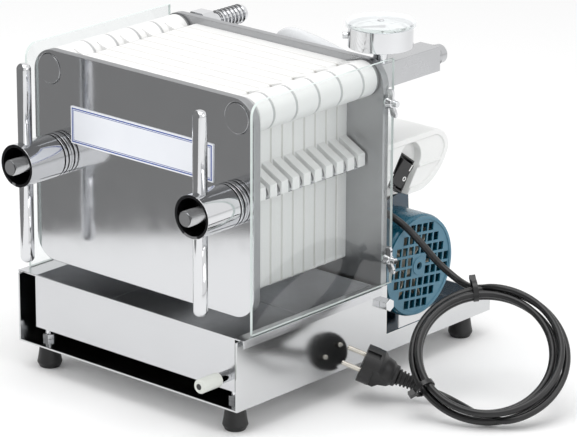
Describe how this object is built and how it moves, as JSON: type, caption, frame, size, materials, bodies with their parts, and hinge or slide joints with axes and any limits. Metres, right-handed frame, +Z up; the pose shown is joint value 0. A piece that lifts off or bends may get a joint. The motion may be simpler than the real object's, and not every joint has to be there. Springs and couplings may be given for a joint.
{
  "type": "plate filter press",
  "caption": "Bench plate filter press: square filter plates clamped between two steel plates by hand nuts on tie rods, over a drip tray, with a motor pump, gauge and switch.",
  "frame": {"origin": "on the bench under the middle of the whole press, measured from the tie rods' front ends to the base's rear wall and between the wing nuts' outer faces, without the mains cord", "axes": "+Z up, +Y from the operator's side towards the motor, +X to the operator's right"},
  "size_m": [0.5031, 0.417, 0.357],
  "materials": {
    "stainless_sheet": "brushed",
    "polished_steel": "polished",
    "chromed_fittings": "polished",
    "rubber_feet": "satin",
    "filter_plate_plastic": "moulded",
    "filter_sheet": "fibre",
    "grey_gasket": "satin",
    "clear_acrylic": "clear",
    "gauge_glass": "clear",
    "white_hose": "gloss",
    "motor_paint": "satin",
    "cover_plastic": "satin",
    "fan_plastic": "moulded",
    "pump_bronze": "cast",
    "switch_box_plastic": "satin",
    "black_plastic": "satin",
    "cord_rubber": "satin",
    "label_face": "printed",
    "cap_plastic": "translucent"
  },
  "bodies": {
    "frame": {"base_frame": "stainless_sheet", "feet": "rubber_feet", "foot_bolts": "chromed_fittings", "filter_plates_port_right": "filter_plate_plastic", "filter_plates_port_left": "filter_plate_plastic", "filter_sheets": "filter_sheet", "port_gaskets": "grey_gasket", "back_plate": "polished_steel", "tie_rod_left": "chromed_fittings", "tie_rod_right": "chromed_fittings", "side_guard_left": "clear_acrylic", "side_guard_right": "clear_acrylic", "wing_nuts_left": "chromed_fittings", "wing_nuts_right": "chromed_fittings", "base_side_bolts": "chromed_fittings", "inlet_manifold": "polished_steel", "gauge_case": "chromed_fittings", "gauge_lens": "gauge_glass", "gauge_screw": "chromed_fittings", "outlet_nozzle": "chromed_fittings", "transfer_hose": "white_hose", "hose_clamp": "chromed_fittings", "motor_body": "motor_paint", "fan_cover": "cover_plastic", "pump_head": "pump_bronze", "switch_box": "switch_box_plastic", "switch_frame": "black_plastic", "cord_gland": "black_plastic", "mains_cord_lead": "cord_rubber", "mains_cord_coil": "cord_rubber", "mains_cord_tail": "cord_rubber", "cord_ties": "black_plastic", "mains_plug": "black_plastic"},
    "pressure_plate_body": {"pressure_plate": "polished_steel", "port_plugs": "polished_steel", "label_plate": "label_face"},
    "hand_nut_left_body": {"hand_nut_left": "polished_steel", "turning_bar_left": "polished_steel"},
    "hand_nut_right_body": {"hand_nut_right": "polished_steel", "turning_bar_right": "polished_steel"},
    "drip_tray_body": {"drip_tray": "stainless_sheet", "drain_spout": "chromed_fittings", "drain_cap": "cap_plastic"},
    "fan_body": {"cooling_fan": "fan_plastic"},
    "rocker_body": {"switch_rocker": "black_plastic"}
  },
  "joints": [
    {"name": "pressure_plate_slide", "type": "slide", "parent": "frame", "child": "pressure_plate_body", "axis": [0, -1, 0], "range_m": [0, 0.02]},
    {"name": "hand_nut_left_turn", "type": "hinge", "parent": "pressure_plate_body", "child": "hand_nut_left_body", "pos_m": [-0.1143, -0.1725, 0.2203], "axis": [0, -1, 0], "range_deg": [0, 3601]},
    {"name": "hand_nut_right_turn", "type": "hinge", "parent": "pressure_plate_body", "child": "hand_nut_right_body", "pos_m": [0.1143, -0.1725, 0.2203], "axis": [0, -1, 0], "range_deg": [0, 3601]},
    {"name": "drip_tray_slide", "type": "slide", "parent": "frame", "child": "drip_tray_body", "axis": [0, -1, 0], "range_m": [0, 0.15]},
    {"name": "fan_spin", "type": "hinge", "parent": "frame", "child": "fan_body", "pos_m": [0.114, 0.104, 0.0995], "axis": [1, 0, 0], "continuous": true},
    {"name": "switch_rock", "type": "hinge", "parent": "frame", "child": "rocker_body", "pos_m": [0.1195, 0.0904, 0.1958], "axis": [0, -0.8192, 0.5736], "range_deg": [0, 14]}
  ],
  "couplings": [
    {"joint": "hand_nut_left_turn", "follows": "pressure_plate_slide", "rad_per_m": 3141.6},
    {"joint": "hand_nut_right_turn", "follows": "pressure_plate_slide", "rad_per_m": 3141.6}
  ]
}
